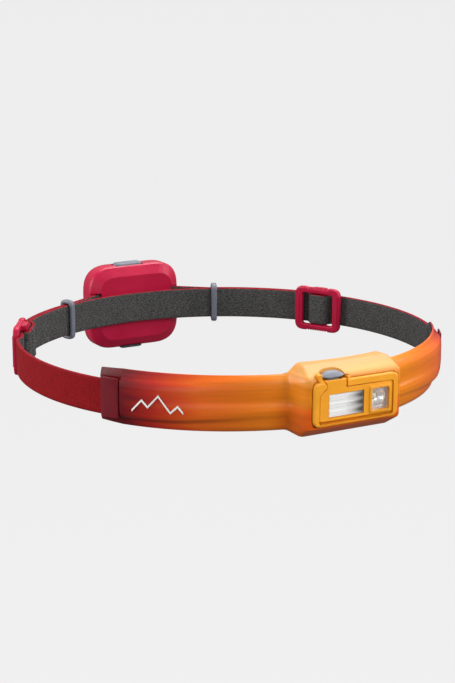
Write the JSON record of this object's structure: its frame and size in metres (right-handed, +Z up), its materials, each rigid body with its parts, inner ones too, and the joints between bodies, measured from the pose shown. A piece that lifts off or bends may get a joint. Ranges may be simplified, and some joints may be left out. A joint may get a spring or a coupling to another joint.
{
  "type": "rechargeable headlamp",
  "caption": "Headlamp with a moulded front band, tilting flood and spot lamp, two-layer adjustable strap and a battery pack at the back of the head.",
  "frame": {"origin": "centre of the head loop, at the strap's mid-height", "axes": "+Z up along the head loop's axis, -Y the way the lamp faces, +X to the wearer's left"},
  "size_m": [0.2024, 0.2293, 0.0466],
  "materials": {
    "band": "moulded knit, dark red at the ends fading to orange at the lamp",
    "lining": "charcoal brushed knit",
    "webbing": "woven webbing, red outside and charcoal inside",
    "lamp_shell": "orange moulding, fine texture",
    "raspberry": "raspberry red moulding, satin",
    "grey_rubber": "soft grey rubber",
    "dark_rubber": "dark grey rubber",
    "clear": "clear polycarbonate",
    "white_plastic": "white",
    "chrome": "vacuum metallised bowl",
    "steel": "stainless steel",
    "black_plastic": "black moulding",
    "board": "circuit board",
    "cell": "foil pouch cell",
    "led": "phosphor yellow LED",
    "print": "white print"
  },
  "bodies": {
    "band_and_pack": {"front_band": "band", "band_lining": "lining", "end_patch_left": "webbing", "end_patch_right": "webbing", "band_mark": "print", "bezel": "lamp_shell", "lamp_tub": "black_plastic", "hinge_pin_left": "steel", "hinge_pin_right": "steel", "detent_leaf": "steel", "side_strap_left": "webbing", "side_strap_right": "webbing", "rear_strap_left": "webbing", "rear_strap_right": "webbing", "outer_strap_left": "webbing", "outer_strap_right": "webbing", "pack_tub": "raspberry", "pack_lid": "raspberry", "pack_screw_1": "steel", "pack_screw_2": "steel", "pack_screw_3": "steel", "pack_screw_4": "steel", "battery_cell": "cell", "charge_board": "board", "usb_port": "steel", "bottom_pad": "dark_rubber", "anchor_bar_left": "steel", "anchor_bar_right": "steel"},
    "lamp_module": {"tilt_module": "lamp_shell", "module_back": "black_plastic", "flood_lens": "clear", "flood_tray": "white_plastic", "spot_lens": "clear", "spot_reflector": "chrome", "led_board": "board", "flood_led": "led", "spot_led": "led", "tact_switch": "black_plastic"},
    "button": {"power_button": "grey_rubber"},
    "left_adjuster": {"adjuster_left": "raspberry", "weave_left": "webbing"},
    "right_adjuster": {"adjuster_right": "raspberry", "weave_right": "webbing"},
    "left_keeper": {"keeper_left": "grey_rubber"},
    "right_keeper": {"keeper_right": "grey_rubber"},
    "cover": {"port_cover": "grey_rubber"}
  },
  "joints": [
    {"name": "lamp_tilt", "type": "hinge", "parent": "band_and_pack", "child": "lamp_module", "pos_m": [0, -0.1093, -0.0044], "axis": [1, 0, 0], "range_deg": [0, 45]},
    {"name": "power_button_press", "type": "slide", "parent": "lamp_module", "child": "button", "axis": [0, 0, -1], "range_m": [0, 0.0005], "stiffness_N_per_m": 3000},
    {"name": "left_adjuster_slide", "type": "hinge", "parent": "band_and_pack", "child": "left_adjuster", "pos_m": [0, 0, 0], "axis": [0, 0, -1], "range_deg": [0, 25], "deforming": ["side_strap_left", "rear_strap_left", "outer_strap_left"]},
    {"name": "right_adjuster_slide", "type": "hinge", "parent": "band_and_pack", "child": "right_adjuster", "pos_m": [0, 0, 0], "axis": [0, 0, 1], "range_deg": [0, 25], "deforming": ["side_strap_right", "rear_strap_right", "outer_strap_right"]},
    {"name": "left_keeper_slide", "type": "hinge", "parent": "band_and_pack", "child": "left_keeper", "pos_m": [0, 0, 0], "axis": [0, 0, -1], "range_deg": [0, 18]},
    {"name": "right_keeper_slide", "type": "hinge", "parent": "band_and_pack", "child": "right_keeper", "pos_m": [0, 0, 0], "axis": [0, 0, 1], "range_deg": [0, 18]},
    {"name": "port_cover_flip", "type": "hinge", "parent": "band_and_pack", "child": "cover", "pos_m": [0.0004, 0.114, 0.0222], "axis": [-1, 0, 0], "range_deg": [0, 100]}
  ]
}
